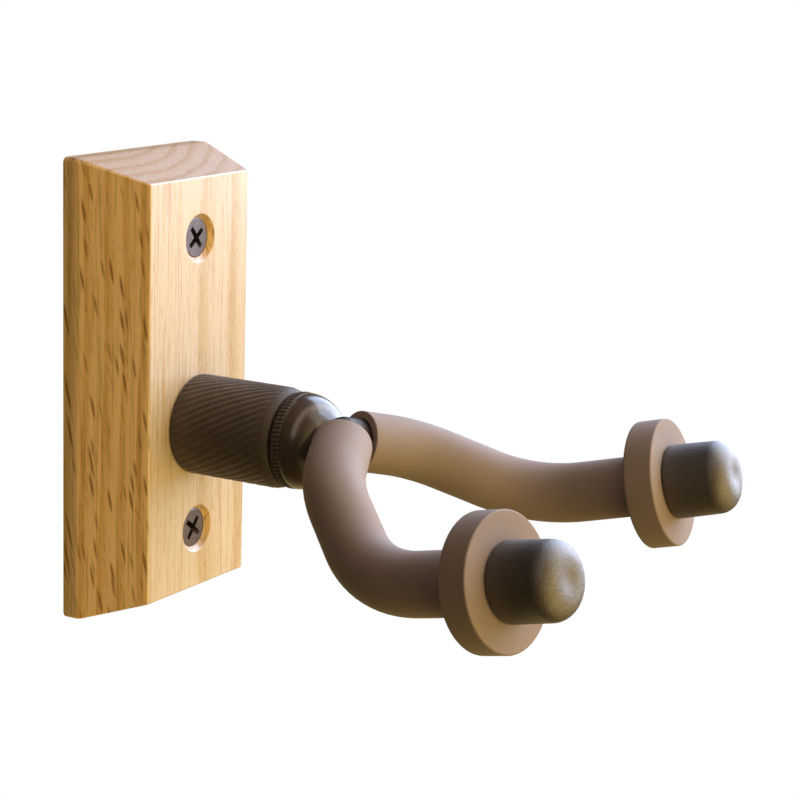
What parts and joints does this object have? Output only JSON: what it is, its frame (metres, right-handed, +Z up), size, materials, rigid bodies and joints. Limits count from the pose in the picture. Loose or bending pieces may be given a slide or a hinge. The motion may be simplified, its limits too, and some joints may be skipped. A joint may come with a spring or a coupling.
{
  "type": "wall guitar hanger",
  "caption": "Bevelled wooden block that screws to a wall, with a knurled barrel in which a rubber-sleeved fork turns to carry a guitar by its headstock.",
  "frame": {"origin": "centre of the wooden block's back face, on the wall plane", "axes": "+Y points into the wall, +Z is up, and the fork stands out of the wall towards -Y with +X on the viewer's right"},
  "size_m": [0.1038, 0.1644, 0.1016],
  "materials": {
    "oak": "satin lacquer over open grain",
    "screw_black": "black oxide, lightly worn",
    "barrel_black": "satin black over a diagonal knurl",
    "head_black": "gloss black",
    "zinc_steel": "zinc plated",
    "stem_steel": "ground steel",
    "rod_steel": "plain drawn steel",
    "bronze": "sintered bronze",
    "acetal": "natural acetal",
    "taupe_rubber": "matt extruded rubber",
    "cap_black": "satin moulded vinyl"
  },
  "bodies": {
    "base": {"wood_block": "oak", "wall_screw_upper": "screw_black", "wall_screw_lower": "screw_black", "swivel_barrel": "barrel_black", "barrel_bolt": "zinc_steel", "barrel_washer": "zinc_steel", "barrel_lock_washer": "zinc_steel", "retaining_set_screw": "screw_black", "front_bushing": "bronze", "rear_bushing": "bronze", "thrust_washer": "acetal"},
    "yoke": {"pivot_stem": "stem_steel", "swivel_head": "head_black", "yoke_rod": "rod_steel", "left_sleeve": "taupe_rubber", "right_sleeve": "taupe_rubber", "left_disc": "taupe_rubber", "right_disc": "taupe_rubber", "left_cap": "cap_black", "right_cap": "cap_black"}
  },
  "joints": [
    {"name": "yoke_swivel", "type": "hinge", "parent": "base", "child": "yoke", "pos_m": [0, -0.044, -0.0086], "axis": [0, -1, 0], "continuous": true}
  ]
}
